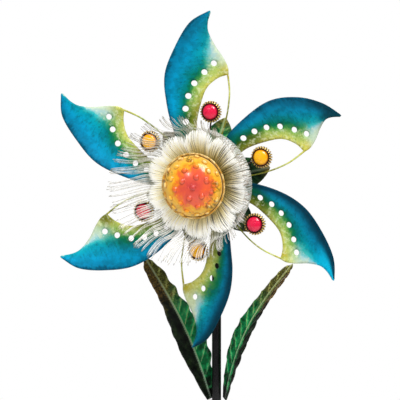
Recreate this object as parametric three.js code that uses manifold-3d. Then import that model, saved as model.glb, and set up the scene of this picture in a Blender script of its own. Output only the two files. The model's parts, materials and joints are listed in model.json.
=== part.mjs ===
// Wind spinner: a flower of six curled sheet blades with a glass centre, turning on a horizontal
// spindle at the top of a ground stake, with a ring of leaves that turns by itself behind it.
// Millimetres, +Z up. The origin is on the pole's axis at ground level; the flower faces -Y.
import * as THREE from "three";
import { mergeVertices } from "three/addons/utils/BufferGeometryUtils.js";
import Module from "manifold-3d";

const wasm = await Module();
wasm.setup();

// Driving dimensions.
const GAP = 0.3; // between pieces that touch
const WHEEL_HEIGHT = 835; // flower axis above the ground
const WHEEL_AHEAD = 62; // plane of the glass gems, ahead of the pole's axis
const BLADES = 6;
const BLADE_TIP = 228; // radius at the blade tips
const BLADE_SHEET = 1.2;
// Each blade is cut and set by hand: degrees clockwise, millimetres outward, slope of its twist,
// and how far its tip ends across and outward of the pattern.
const BLADE_SETS = [
  [0.8, 3, 0, [0, 5]],
  [-0.2, 1.5, 0.15, [3, -8]],
  [0, -0.5, 0.15, [0, 0]],
  [0.5, -3, -0.2, [-3.5, 0]],
  [-1, -1.5, 0.2, [0, 1]],
  [-1.7, 0.5, 0.2, [-1.5, 2.5]],
];
const HOLE_R = 4; // round holes that follow each blade's curve
const GEM_RING = { radius: 93.2, turn: 5.7 }; // turn: degrees clockwise of the blade's own line
// How far each gem's wire is bent from its place: degrees clockwise and millimetres outward.
const GEM_SETS = [[1, 5], [0, -1.5], [0, -1.5], [-1.3, -1], [-1.7, 1], [0, 0.5]];
const GEM_R = 10.4;
const BEZEL = { outer: 15, root: 12.9, teeth: 16, back: -3.3, front: 2.6 };
const DOME = { radius: 44.6, height: 25, wall: 3, back: 40.4 };
const CORONA_IN = { lobes: 10, radius: 72, sheet: 1.2 };
const CORONA_OUT = { radius: 101, front: 105, sheet: 1, slots: 12, slotWidth: 1.6, slotFrom: 62 };
const REAR_LEAF = { count: 6, tip: 92, width: 43, turn: 16, sheet: 1, z: -21 };
const SPINDLE_R = 4;
const RUNNING = 0.13; // radial clearance of the turning bores on the spindle
const BARREL = { outer: 13, bore: 11.3, back: -13.5, front: 12.5 };
const BEARING = { outer: 11, width: 7 };
const POLE = { radius: 6.35, wall: 1.2, joint: 300, top: 829 };
const HEAD = { radius: 11, bottom: 800, top: 850, boss: 9.5, bossAhead: 24 };
const FORK = { spread: 60, depth: 150, spikeDepth: 155, bar: [150, 24, 6] };
// The stem leaves stand off the pole, turned a little behind it, lean out and face each other.
const STEM_LEAF = { base: 528, length: 216, lean: 26.4, facing: 48, behind: 30.7, fold: 0.2, sheet: 1.2 };
const LEAF_HALF_WIDTHS = [
  [6, 0], [11.5, 17], [16, 39], [22, 69],
  [21.7, 108], [16, 147], [13.8, 177], [10.5, 201],
];
const COLLAR_Z = 474;
const ROUND = 24; // sides of a turned piece

const rad = THREE.MathUtils.degToRad;
const paint = (color, roughness, metalness) =>
  new THREE.MeshStandardMaterial({ color, roughness, metalness });
const M = {
  black: paint(0x17181a, 0.25, 0.4),
  steel: paint(0xb9bcc0, 0.35, 0.9),
  nylon: paint(0xe9e7df, 0.6, 0),
  blade: paint(0x1c93ad, 0.4, 0.5),
  leaf: paint(0x2f7a3d, 0.45, 0.4),
  film: paint(0xf2f2ec, 0.35, 0),
  bronze: paint(0x4a3218, 0.45, 0.7),
  gold: paint(0xc79a3a, 0.35, 0.8),
  red: paint(0xe31545, 0.1, 0),
  amber: paint(0xffb31a, 0.1, 0),
  dome: paint(0xf08a3a, 0.08, 0),
};

// ---- geometry helpers ----

function toSolid(geometry) {
  const bare = geometry.clone();
  for (const key of Object.keys(bare.attributes)) {
    if (key !== "position") bare.deleteAttribute(key);
  }
  const merged = mergeVertices(bare, 1e-4);
  const vertProperties = new Float32Array(merged.attributes.position.array);
  const triVerts = new Uint32Array(merged.index.array);
  return new wasm.Manifold(new wasm.Mesh({ numProp: 3, vertProperties, triVerts }));
}

function toGeometry(solid) {
  const made = solid.getMesh();
  const geometry = new THREE.BufferGeometry();
  const position = new THREE.BufferAttribute(new Float32Array(made.vertProperties), 3);
  geometry.setAttribute("position", position);
  geometry.setIndex(new THREE.BufferAttribute(new Uint32Array(made.triVerts), 1));
  geometry.computeVertexNormals();
  return geometry;
}

const join = (first, ...rest) => rest.reduce((sum, g) => sum.add(toSolid(g)), toSolid(first));
const cutFrom = (solid, ...tools) => tools.reduce((left, g) => left.subtract(toSolid(g)), solid);

// A turned piece about +Z; each profile point is [radius, z], counter-clockwise in that plane.
function turned(profile, sides = ROUND) {
  const points = profile.map(([r, z]) => new THREE.Vector2(r, z));
  const closed = profile[0][0] > 0 ? [...points, points[0].clone()] : points;
  return new THREE.LatheGeometry(closed, sides).rotateX(Math.PI / 2);
}

const ring = (inner, outer, z0, z1, sides = ROUND) =>
  turned([[inner, z0], [outer, z0], [outer, z1], [inner, z1]], sides);

const disc = (radius, z0, z1, sides = ROUND) =>
  new THREE.CylinderGeometry(radius, radius, z1 - z0, sides)
    .rotateX(Math.PI / 2)
    .translate(0, 0, (z0 + z1) / 2);

function hexNut(across, bore, z0, z1) {
  return toGeometry(cutFrom(toSolid(disc(across / Math.sqrt(3), z0, z1, 6)), disc(bore, z0 - 1, z1 + 1)));
}

// A sheet of even thickness bent to z = height(x, y), cut to a flat outline.
function bentSheet(outline, thickness, box, cells, height, curveSegments) {
  const [x0, y0, x1, y1] = box;
  const slab = new THREE.BoxGeometry(x1 - x0, y1 - y0, thickness, cells[0], cells[1], 1);
  slab.translate((x0 + x1) / 2, (y0 + y1) / 2, 0);
  const p = slab.attributes.position;
  for (let i = 0; i < p.count; i++) p.setZ(i, p.getZ(i) + height(p.getX(i), p.getY(i)));
  const prism = new THREE.ExtrudeGeometry(outline, { depth: 200, bevelEnabled: false, curveSegments });
  prism.translate(0, 0, -100);
  return toGeometry(toSolid(slab).intersect(toSolid(prism)));
}

function roundHole(x, y, r, sides) {
  const corners = [];
  for (let i = 0; i < sides; i++) {
    const a = (2 * Math.PI * i) / sides;
    corners.push(new THREE.Vector2(x + r * Math.cos(a), y + r * Math.sin(a)));
  }
  return new THREE.Path(corners);
}

const points2 = (list) => list.map(([x, y]) => new THREE.Vector2(x, y));
const smooth = (x, from, to) => THREE.MathUtils.smoothstep(x, from, to);

function add(group, name, geometry, material) {
  const mesh = new THREE.Mesh(geometry, material);
  mesh.name = name;
  group.add(mesh);
  return mesh;
}

// ---- stake ----

const part = new THREE.Group();

function stake() {
  const [width, depth, thick] = FORK.bar;
  const bar = new THREE.BoxGeometry(width, depth, thick).translate(0, 0, thick / 2);
  add(part, "step_bar", bar, M.black);
  const prong = (r, length) => turned([[0, -length], [r, -length + 25], [r, -GAP], [0, -GAP]], 16);
  add(part, "prong_left", prong(4.5, FORK.depth), M.black).position.x = -FORK.spread;
  add(part, "prong_right", prong(4.5, FORK.depth), M.black).position.x = FORK.spread;
  add(part, "ground_spike", prong(6, FORK.spikeDepth), M.black);
  const bore = POLE.radius + GAP;
  const foot = thick + GAP;
  add(part, "pole_socket", ring(bore, bore + 3, foot, foot + 55), M.black);
  const inner = POLE.radius - POLE.wall;
  add(part, "lower_pole", ring(inner, POLE.radius, foot, POLE.joint), M.black);
  add(part, "pole_coupling", ring(bore, bore + 2, POLE.joint - 30, POLE.joint + 30), M.black);
  add(part, "upper_pole", ring(inner, POLE.radius, POLE.joint + GAP, POLE.top), M.black);
  add(part, "leaf_collar", ring(bore, bore + 3, COLLAR_Z, COLLAR_Z + 20), M.black);
}

// The leaf's own frame: length along +Y from its foot, +Z to the side it faces.
function stemLeafGeometry() {
  const { length, fold, sheet } = STEM_LEAF;
  const right = LEAF_HALF_WIDTHS.slice(1);
  const left = right.map(([x, y]) => [-x, y]).reverse();
  const [foot] = LEAF_HALF_WIDTHS;
  const outline = new THREE.Shape();
  outline.moveTo(...foot);
  outline.splineThru(points2(right));
  outline.lineTo(0, length);
  outline.lineTo(...left[0]);
  outline.splineThru(points2([...left.slice(1), [-foot[0], foot[1]]]));
  outline.closePath();
  const half = Math.max(...right.map(([x]) => x)) + 4;
  const bend = (x, y) =>
    fold * Math.abs(x) + 17.5 * Math.sin((Math.PI * y) / length) - 3 * (y / length) ** 2;
  return bentSheet(outline, sheet, [-half, -1, half, length + 1], [8, 14], bend, 3);
}

function stemLeaf(side, word) {
  const reach = POLE.radius + GAP + 3 + GAP + 2.5;
  const stalkX = side * reach * Math.cos(rad(STEM_LEAF.behind));
  const stalkY = reach * Math.sin(rad(STEM_LEAF.behind));
  const stalk = new THREE.CylinderGeometry(2.5, 2.5, 50, 12).rotateX(Math.PI / 2);
  add(part, "leaf_stalk_" + word, stalk, M.black).position.set(stalkX, stalkY, COLLAR_Z + 27);
  const lean = new THREE.Group();
  lean.position.set(stalkX, stalkY, STEM_LEAF.base);
  lean.rotation.y = side * rad(STEM_LEAF.lean);
  const facing = new THREE.Group();
  facing.rotation.z = -side * rad(STEM_LEAF.facing);
  part.add(lean);
  lean.add(facing);
  const leaf = add(facing, "stem_leaf_" + word, stemLeafGeometry(), M.leaf);
  leaf.rotation.x = Math.PI / 2;
}

// ---- head and spindle ----

// Frame of the wheels: +Z ahead along the spindle, +Y up, origin in the plane of the gems.
const flower = new THREE.Group();
flower.position.set(0, -WHEEL_AHEAD, WHEEL_HEIGHT);
flower.rotation.x = Math.PI / 2;
part.add(flower);

function head() {
  const alongY = (r, ahead0, ahead1, z, sides) =>
    disc(r, ahead0, ahead1, sides).rotateX(Math.PI / 2).translate(0, 0, z);
  const post = disc(HEAD.radius, HEAD.bottom, HEAD.top);
  const boss = alongY(HEAD.boss, 4, HEAD.bossAhead, WHEEL_HEIGHT, ROUND);
  const poleBore = disc(POLE.radius + GAP, HEAD.bottom - 1, POLE.top + GAP);
  const spindleBore = alongY(SPINDLE_R + GAP, 9.4, HEAD.bossAhead + 1, WHEEL_HEIGHT, ROUND);
  const screwBore = alongY(2.5 + GAP, -HEAD.radius - 1, -POLE.radius, HEAD.bottom + 12, 16);
  const body = cutFrom(join(post, boss), poleBore, spindleBore, screwBore);
  add(part, "spindle_head", toGeometry(body), M.black);
  const screw = alongY(2.5, -HEAD.radius - 2.5, -POLE.radius - GAP, HEAD.bottom + 12, 12);
  add(part, "head_set_screw", screw, M.steel);
}

function spindle() {
  const back = 10 - WHEEL_AHEAD;
  const bossFace = HEAD.bossAhead - WHEEL_AHEAD + GAP;
  add(flower, "spindle", disc(SPINDLE_R, back, 21), M.steel);
  add(flower, "jam_nut", hexNut(13, SPINDLE_R + GAP, bossFace, bossFace + 5), M.steel);
  add(flower, "rear_spacer", ring(SPINDLE_R + GAP, 7, bossFace + 5 + GAP, -29), M.steel);
  add(flower, "mid_spacer", ring(SPINDLE_R + GAP, 6.2, -16.4, BARREL.back - GAP), M.steel);
  add(flower, "lock_nut", hexNut(13, SPINDLE_R + GAP, 11.6, 17.5), M.steel);
}

// ---- leaf wheel ----

function rearLeafGeometry() {
  const { tip, width, sheet, z } = REAR_LEAF;
  const half = width / 2;
  const outline = new THREE.Shape();
  outline.moveTo(-5, 15);
  outline.bezierCurveTo(-6, 34, -half * 1.15, 36, -half, 58);
  outline.bezierCurveTo(-half * 0.9, 74, -9, 86, 0, tip);
  outline.bezierCurveTo(9, 86, half * 0.9, 74, half, 58);
  outline.bezierCurveTo(half * 1.15, 36, 6, 34, 5, 15);
  outline.closePath();
  const cup = (x, y) => z + smooth(y, 27, 50) * 0.09 * Math.abs(x) - 3 * smooth(y, 60, tip);
  return bentSheet(outline, sheet, [-half - 3, 12, half + 3, tip + 2], [6, 6], cup, 4);
}

function leafWheel() {
  const { count, turn, z, sheet } = REAR_LEAF;
  const plateFront = z - sheet / 2 - GAP;
  add(flower, "leaf_bush", ring(SPINDLE_R + RUNNING, 8, -28.7, -16.7), M.nylon);
  add(flower, "leaf_plate", ring(8 + GAP, 26, plateFront - 1.5, plateFront), M.black);
  const ringBack = z + sheet / 2 + GAP;
  add(flower, "leaf_clamp_ring", ring(8 + GAP, 20, ringBack, ringBack + 1.5), M.black);
  const leaf = rearLeafGeometry();
  for (let i = 0; i < count; i++) {
    add(flower, "rear_leaf_" + (i + 1), leaf, M.leaf).rotation.z = -rad(turn + (i * 360) / count);
  }
}

// ---- flower wheel ----

// Blade frame: y out along the blade, x towards its trailing edge (clockwise seen from ahead).
function bladeHeight(x, y, twist) {
  const root = smooth(y, 30, 60);
  const reach = Math.max(0, y - 110);
  const cup = 0.0047 * x * x - 0.145 * x;
  return -8 + root * cup + 0.0019 * reach * reach - 0.0031 * reach * x + twist * x * smooth(y, 50, 100);
}

function bladeOutline([tipAcross, tipOut]) {
  const shifted = (...list) => {
    const share = (y) => smooth(y, 165, BLADE_TIP);
    return points2(list.map(([x, y]) => [x + tipAcross * share(y), y + tipOut * share(y)]));
  };
  const outline = new THREE.Shape();
  const leading = [[-36, 57], [-49, 102], [-50, 144], [-35, 182], [-14.5, 212], [9.5, BLADE_TIP - 1]];
  outline.moveTo(-8, 20);
  outline.lineTo(-11, 30);
  outline.splineThru(shifted(...leading));
  outline.splineThru(shifted([12.4, BLADE_TIP - 0.4], [12.7, BLADE_TIP - 3]));
  outline.splineThru(shifted([8, 213], [7.5, 200], [15, 183], [24.5, 169], [31, 156], [32, 147]));
  outline.splineThru(points2([[35, 117], [30.5, 84], [20, 50], [11, 30]]));
  outline.lineTo(8, 20);
  outline.closePath();
  const opening = new THREE.Path();
  opening.moveTo(30, 145);
  opening.splineThru(points2([[16, 139.5], [1, 125], [-7.5, 99], [-11, 73], [-5, 50], [6, 44]]));
  opening.splineThru(points2([[17.7, 50.4], [28.7, 84], [33.2, 117], [30, 145]]));
  outline.holes.push(opening);
  const holes = [[12, 160.5], [-1, 148], [-14.5, 132.5], [-22.5, 115], [-26, 97.5], [-25.5, 79.5]];
  for (const [x, y] of holes) outline.holes.push(roundHole(x, y, HOLE_R, 8));
  return outline;
}

function blades() {
  const box = [-56, 15, 40, BLADE_TIP + 8];
  BLADE_SETS.forEach(([swing, out, twist, tip], i) => {
    const height = (x, y) => bladeHeight(x, y, twist);
    const blade = bentSheet(bladeOutline(tip), BLADE_SHEET, box, [5, 8], height, 2).translate(0, out, 0);
    add(flower, "blade_" + (i + 1), blade, M.blade).rotation.z = -rad((i * 360) / BLADES + swing);
  });
}

function hub() {
  const { outer, bore, back, front } = BARREL;
  const step = back + 2.4;
  const profile = [[bore, back], [20, back], [20, step], [outer, step], [outer, front], [bore, front]];
  add(flower, "hub_barrel", turned(profile), M.steel);
  const bearing = (z0) => ring(SPINDLE_R + RUNNING, BEARING.outer, z0, z0 + BEARING.width);
  add(flower, "bearing_rear", bearing(back + 0.5), M.steel);
  add(flower, "bearing_front", bearing(4), M.steel);
  add(flower, "blade_plate", ring(outer + GAP, 40, step + GAP, -8 - BLADE_SHEET / 2 - GAP), M.black);
  add(flower, "clamp_ring", ring(outer + GAP, 20, 0.2, 4.4), M.steel);
}

const gemTurn = (i) => -rad(GEM_RING.turn + GEM_SETS[i][0] + (i * 360) / BLADES);
const gemRadius = (i) => GEM_RING.radius + GEM_SETS[i][1];

function gemStems() {
  const z = -5;
  const wire = 1.2;
  const pieces = [];
  for (let i = 0; i < BLADES; i++) {
    const length = gemRadius(i) - 17;
    const arm = new THREE.CylinderGeometry(wire, wire, length, 6).translate(0, 17 + length / 2, z);
    const pad = disc(5, z - wire, BEZEL.back - GAP, 8).translate(0, gemRadius(i), 0);
    pieces.push(arm.rotateZ(gemTurn(i)), pad.rotateZ(gemTurn(i)));
  }
  const hubRing = ring(BARREL.outer + GAP, 19, z - 1.1, z + 1.1);
  add(flower, "gem_stems", toGeometry(join(hubRing, ...pieces)), M.bronze);
}

function bezelGeometry() {
  const { outer, root, teeth, back, front } = BEZEL;
  const outline = new THREE.Shape();
  const at = (r, a) => [r * Math.cos(a), r * Math.sin(a)];
  for (let i = 0; i < teeth; i++) {
    const step = (2 * Math.PI) / teeth;
    const a = i * step;
    if (i === 0) outline.moveTo(...at(root, a));
    else outline.lineTo(...at(root, a));
    outline.lineTo(...at(outer, a + step / 2));
  }
  outline.closePath();
  const body = new THREE.ExtrudeGeometry(outline, { depth: front - back, bevelEnabled: false });
  body.translate(0, 0, back);
  return toGeometry(cutFrom(toSolid(body), disc(GEM_R + GAP, back + 1.4, front + 1, 18)));
}

function gemGeometry() {
  const back = BEZEL.back + 1.4 + GAP;
  const crown = [[GEM_R, 2.4], [GEM_R * 0.84, 4.8], [GEM_R * 0.45, 6.4], [0, 6.8]];
  const profile = [[0, back], [GEM_R, back], ...crown];
  return turned(profile, 18);
}

function gems() {
  const bezel = bezelGeometry();
  const gem = gemGeometry();
  for (let i = 0; i < BLADES; i++) {
    const seat = new THREE.Group();
    seat.rotation.z = gemTurn(i);
    flower.add(seat);
    add(seat, "bezel_" + (i + 1), bezel, M.bronze).position.y = gemRadius(i);
    const glass = i % 2 ? M.amber : M.red;
    add(seat, "gem_" + (i + 1), gem, glass).position.y = gemRadius(i);
  }
}

// A line of [radius, z] points moved sideways by the sheet's thickness, toward the axis and ahead.
function movedInward(line, sheet) {
  return line.map(([r, z], i) => {
    const [r0, z0] = line[Math.max(i - 1, 0)];
    const [r1, z1] = line[Math.min(i + 1, line.length - 1)];
    const length = Math.hypot(r1 - r0, z1 - z0);
    return [r - (sheet * (z1 - z0)) / length, z + (sheet * (r1 - r0)) / length];
  });
}

// A thin bowl that follows a line of [radius, z] points, as deep as the sheet along the axis.
function bowl(line, sheet, sides) {
  const front = line.map(([r, z]) => [r, z + sheet]);
  return turned([...line, ...front.reverse()], sides);
}

function coronaInner() {
  const { lobes, radius, sheet } = CORONA_IN;
  const inner = BARREL.outer + GAP;
  const line = [[inner, -1.6], [28, -1.6], [42, 12], [58, 20], [radius + 2, 16]];
  const pitch = Math.PI / lobes;
  const centre = radius / (1 + 0.98 * Math.sin(pitch));
  const lobe = radius - centre;
  const outline = new THREE.Shape();
  for (let i = 0; i < lobes; i++) {
    const a = Math.PI / 2 + 2 * pitch * i;
    outline.absarc(centre * Math.cos(a), centre * Math.sin(a), lobe, a - 1.9, a + 1.9, false);
  }
  outline.closePath();
  const prism = new THREE.ExtrudeGeometry(outline, { depth: 60, bevelEnabled: false, curveSegments: 4 });
  prism.translate(0, 0, -20);
  const lobed = toSolid(bowl(line, sheet, 30)).intersect(toSolid(prism));
  add(flower, "corona_inner", toGeometry(lobed), M.film);
}

function coronaOuter() {
  const { radius, front, sheet, slots, slotWidth, slotFrom } = CORONA_OUT;
  const foot = [[BARREL.outer + GAP, -3.3], [54, -2.3], [73, 10]];
  const throat = [[78, 25], [79.5, 50], [83, 72], [90, 89]];
  const line = [...foot, ...throat, [radius, front - 0.6 * sheet]];
  const wall = turned([...line, ...movedInward(line, sheet).reverse()], 36);
  const tools = [];
  for (let i = 0; i < slots; i++) {
    const length = radius + 5 - slotFrom;
    const slot = new THREE.BoxGeometry(slotWidth, length, 140).translate(0, slotFrom + length / 2, 50);
    tools.push(slot.rotateZ((2 * Math.PI * (i + 0.5)) / slots));
  }
  const film = cutFrom(toSolid(wall), ...tools);
  add(flower, "corona_outer", toGeometry(film), M.film);
}

function dome() {
  const { radius, height, wall, back } = DOME;
  const neck = BARREL.outer + GAP;
  const outside = [[neck, 4.7], [20, 5.2], [33, 18], [43, 33], [radius + 0.6, back - GAP]];
  const inside = [[radius - 1, back - GAP], [41.6, 33.8], [31.8, 19.4], [19.4, 6.5], [neck, 6]];
  add(flower, "dome_cup", turned([...outside, ...inside]), M.gold);
  const arc = (r, h) => [0, 22, 45, 68, 90].map((a) => [r * Math.cos(rad(a)), back + h * Math.sin(rad(a))]);
  const shell = [...arc(radius, height), ...arc(radius - wall, height - wall).reverse()];
  const profile = shell.map(([r, z]) => new THREE.Vector2(r < 1e-6 ? 0 : r, z));
  const rimFirst = [...profile.slice(5), ...profile.slice(0, 5)];
  add(flower, "dome_glass", new THREE.LatheGeometry(rimFirst, ROUND).rotateX(Math.PI / 2), M.dome);
}

stake();
stemLeaf(-1, "left");
stemLeaf(1, "right");
head();
spindle();
leafWheel();
hub();
blades();
gemStems();
gems();
coronaOuter();
coronaInner();
dome();

export default part;
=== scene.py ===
import json
import math
import random

import bmesh
import bpy
import numpy as np
from mathutils import Matrix, Vector
from mathutils.geometry import delaunay_2d_cdt


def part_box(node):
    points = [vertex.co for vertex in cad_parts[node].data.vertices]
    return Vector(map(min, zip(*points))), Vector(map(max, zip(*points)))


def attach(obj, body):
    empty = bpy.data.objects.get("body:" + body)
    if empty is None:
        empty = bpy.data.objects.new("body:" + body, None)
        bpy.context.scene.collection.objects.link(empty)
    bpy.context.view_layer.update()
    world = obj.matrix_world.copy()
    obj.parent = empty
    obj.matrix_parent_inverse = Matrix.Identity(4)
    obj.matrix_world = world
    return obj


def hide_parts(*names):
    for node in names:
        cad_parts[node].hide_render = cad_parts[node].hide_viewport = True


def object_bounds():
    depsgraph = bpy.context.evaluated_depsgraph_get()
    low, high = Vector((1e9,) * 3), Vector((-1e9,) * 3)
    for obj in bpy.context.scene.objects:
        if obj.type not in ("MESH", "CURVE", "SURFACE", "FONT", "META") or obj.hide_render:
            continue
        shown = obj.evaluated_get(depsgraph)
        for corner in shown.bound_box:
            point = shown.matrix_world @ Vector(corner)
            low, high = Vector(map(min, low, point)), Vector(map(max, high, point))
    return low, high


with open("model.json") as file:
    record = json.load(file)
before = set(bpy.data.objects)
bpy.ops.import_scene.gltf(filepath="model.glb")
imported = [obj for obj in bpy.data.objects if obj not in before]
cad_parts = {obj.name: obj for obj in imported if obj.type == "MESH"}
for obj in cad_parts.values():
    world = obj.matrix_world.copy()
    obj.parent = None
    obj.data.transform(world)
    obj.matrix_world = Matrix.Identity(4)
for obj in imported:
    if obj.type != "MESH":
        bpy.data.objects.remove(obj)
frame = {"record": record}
CAD_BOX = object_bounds()

# ---- driving values: millimetres in each piece's own frame, metres in the scene ----

MM = 0.001
BEHAVIOUR = frame["record"]["behaviour"]
WHEEL = Vector(next(j["pos_m"] for j in BEHAVIOUR["joints"] if j["name"] == "flower_spin"))
WHEEL_AHEAD = -WHEEL.y / MM
BODY_OF = {node: body for body, nodes in BEHAVIOUR["bodies"].items() for node in nodes}
SLOT_OF = {part["node"]: part["material_slot"] for part in frame["record"]["subparts"]}
HUB_BORE, BARREL_BORE, BUSH_BORE, SPINDLE_BORE, BEARING_BORE = 13.3, 11.3, 8.3, 4.3, 4.13
BLADE_TIP = 228
BLADE_SHEET = 1.2
HOLE_R = 4.0
# The share of the way across a blade at which its colour line lies, where green turns to yellow.
LINE_SHARE = 0.66
GEM_RING, GEM_TURN, GEM_R = 93.2, 5.7, 10.4
# Each blade is cut, set and painted by hand: degrees clockwise, millimetres outward, slope of its twist, how
# far its tip ends across and outward of the pattern, and its paint: how much painted shade darkens the
# leading side where it tilts away from the light, how dark (or, below 0, bright) the tip is, how far the
# green spreads, and how olive the inner corner is.
BLADE_SETS = [
    (0.8, 3, 0, (0, 5), (0.12, 0.25, 0.03, 0.2)),
    (-0.2, 1.5, 0.15, (3, -8), (0.4, 0.9, 0.03, 0.0)),
    (0, -0.5, 0.15, (0, 0), (0.9, -0.8, 0.0, 0.0)),
    (0.5, -3, -0.2, (-3.5, 0), (0.9, 0.5, 0.14, 0.2)),
    (-1, -1.5, 0.2, (0, 1), (0.0, -0.1, 0.0, 1.0)),
    (-1.7, 0.5, 0.2, (-1.5, 2.5), (0.15, 0.1, 0.0, 0.3)),
]
# How far each gem's wire is bent from its place: degrees clockwise and millimetres outward.
GEM_SETS = [(1, 5), (0, -1.5), (0, -1.5), (-1.3, -1), (-1.7, 1), (0, 0.5)]
REAR_LEAF = {"count": 6, "tip": 92, "width": 43, "turn": 16, "sheet": 1.0, "z": -21}
STEM_LEAF = {"base": 528, "length": 216, "lean": 26.4, "facing": 48, "behind": 30.7, "fold": 0.2,
             "sheet": 1.2, "reach": 12.45}
LEAF_EDGE = [(6, 0), (11.5, 17), (16, 39), (22, 69), (21.7, 108), (16, 147), (13.8, 177), (10.5, 201)]
random.seed(7)


def mix(a, b, t):
    return a + (b - a) * t


def smooth(x, lo, hi):
    t = np.clip((x - lo) / (hi - lo), 0, 1)
    return t * t * (3 - 2 * t)


# ---- placing ----

def ahead(p):
    """Wheel frame in mm (x right, y up, z ahead of the gems' plane) to the scene."""
    return WHEEL + Vector((p[0], -p[2], p[1])) * MM


def standing(p):
    return Vector(p) * MM


def turned_by(degrees):
    """Wheel frame, turned clockwise as seen from ahead."""
    a = -math.radians(degrees)
    c, s = math.cos(a), math.sin(a)
    return lambda p: ahead((c * p[0] - s * p[1], s * p[0] + c * p[1], p[2]))


# ---- meshes ----

def around(r, a, z=0.0):
    """The point at a radius, an angle and a height about z."""
    return (r * math.cos(a), r * math.sin(a), z)


def band(a, b, sides):
    """The faces between two closed rows of vertices that start at a and b."""
    return [[a + i, a + (i + 1) % sides, b + (i + 1) % sides, b + i] for i in range(sides)]


def add_object(name, data):
    obj = bpy.data.objects.new(name, data)
    bpy.context.scene.collection.objects.link(obj)
    return obj


def piece(name, node, verts, faces, place=ahead, flat=None, values=None):
    """A mesh that stands for a CAD node, with that node's body, slot and paint.

    flat marks faces kept flat; values are named numbers stored on the vertices.
    """
    mesh = bpy.data.meshes.new(name)
    mesh.from_pydata([tuple(place(v)) for v in verts], [], faces)
    smooth_faces = [True] * len(faces) if flat is None else [not f for f in flat]
    mesh.polygons.foreach_set("use_smooth", smooth_faces)
    for key, numbers in (values or {}).items():
        numbers = np.asarray(numbers, dtype=np.float32)
        kind, field = ("FLOAT_VECTOR", "vector") if numbers.ndim == 2 else ("FLOAT", "value")
        mesh.attributes.new(key, kind, "POINT").data.foreach_set(field, numbers.ravel())
    mesh.materials.append(PAINTS[SLOT_OF[node]])
    obj = add_object(name, mesh)
    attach(obj, BODY_OF[node])
    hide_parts(node)
    return obj


def facing_out(obj):
    """Turns every face of a closed mesh outward."""
    bm = bmesh.new()
    bm.from_mesh(obj.data)
    bmesh.ops.recalc_face_normals(bm, faces=bm.faces)
    bm.to_mesh(obj.data)
    bm.free()
    return obj


def revolve(profile, sides):
    """A closed profile of (radius, z) turned about z; a radius of 0 becomes one pole point."""
    verts, rows = [], []
    for r, z in profile:
        if r < 1e-6:
            rows.append([len(verts)] * sides)
            verts.append((0, 0, z))
            continue
        rows.append(list(range(len(verts), len(verts) + sides)))
        verts += [around(r, 2 * math.pi * i / sides, z) for i in range(sides)]
    faces = []
    for a, b in zip(rows, rows[1:] + rows[:1]):
        for i in range(sides):
            quad = list(dict.fromkeys([a[i], a[(i + 1) % sides], b[(i + 1) % sides], b[i]]))
            if len(quad) > 2:
                faces.append(quad)
    return verts, faces


def tube(path, radius, sides=12):
    """A round rod along a list of points at one height, with closed ends."""
    path = [Vector(p) for p in path]
    verts, faces, side = [], [], Vector((0, 0, 1))
    for i, p in enumerate(path):
        along = (path[min(i + 1, len(path) - 1)] - path[max(i - 1, 0)]).normalized()
        u = along.cross(side).normalized()
        w = along.cross(u)
        for k in range(sides):
            a = 2 * math.pi * k / sides
            verts.append(tuple(p + radius * (math.cos(a) * u + math.sin(a) * w)))
    for i in range(len(path) - 1):
        faces += band(i * sides, (i + 1) * sides, sides)
    faces.append(list(range(sides)))
    faces.append(list(range(len(verts) - sides, len(verts))))
    return verts, faces


def spline(points, steps):
    """A Catmull-Rom curve through the points, with steps points to each stretch."""
    pts = [np.array(p, float) for p in points]
    last = len(pts) - 1
    out = [pts[0]]
    for i in range(last):
        p0, p1, p2, p3 = pts[max(i - 1, 0)], pts[i], pts[i + 1], pts[min(i + 2, last)]
        v0, v1 = (p2 - p0) / 2, (p3 - p1) / 2
        cubed, squared = 2 * p1 - 2 * p2 + v0 + v1, 3 * p2 - 3 * p1 - 2 * v0 - v1
        out += [cubed * t**3 + squared * t**2 + v0 * t + p1 for t in np.arange(1, steps + 1) / steps]
    return [tuple(p) for p in out]


def bezier(p0, p1, p2, p3, steps):
    """Points along a cubic curve after its first one."""
    shares = [((1 - t)**3, 3 * (1 - t)**2 * t, 3 * (1 - t) * t * t, t**3)
              for t in np.arange(1, steps + 1) / steps]
    return [tuple(np.dot(share, (p0, p1, p2, p3))) for share in shares]


def inside(points, loop):
    """Which of the points lie inside a closed outline."""
    x, y = points[:, :1], points[:, 1:2]
    a = np.array(loop)
    b = np.roll(a, -1, axis=0)
    crosses = (a[:, 1] > y) != (b[:, 1] > y)
    slope = (b[:, 0] - a[:, 0]) / np.where(b[:, 1] == a[:, 1], 1e-9, b[:, 1] - a[:, 1])
    return (np.sum(crosses & (x < a[:, 0] + (y - a[:, 1]) * slope), axis=1) % 2) == 1


def distance(points, line, closed=False):
    """Each point's distance to a line of points."""
    a = np.array(line, float)
    b = np.roll(a, -1, axis=0) if closed else a[1:]
    a = a if closed else a[:-1]
    d = b - a
    length2 = np.maximum((d**2).sum(1), 1e-9)
    out = np.full(len(points), 1e9)
    for i in range(len(a)):
        t = np.clip(((points - a[i]) @ d[i]) / length2[i], 0, 1)
        out = np.minimum(out, np.linalg.norm(points - (a[i] + t[:, None] * d[i]), axis=1))
    return out


def within(points, outline, holes):
    keep = inside(points, outline)
    for hole in holes:
        keep &= ~inside(points, hole)
    return keep


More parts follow.
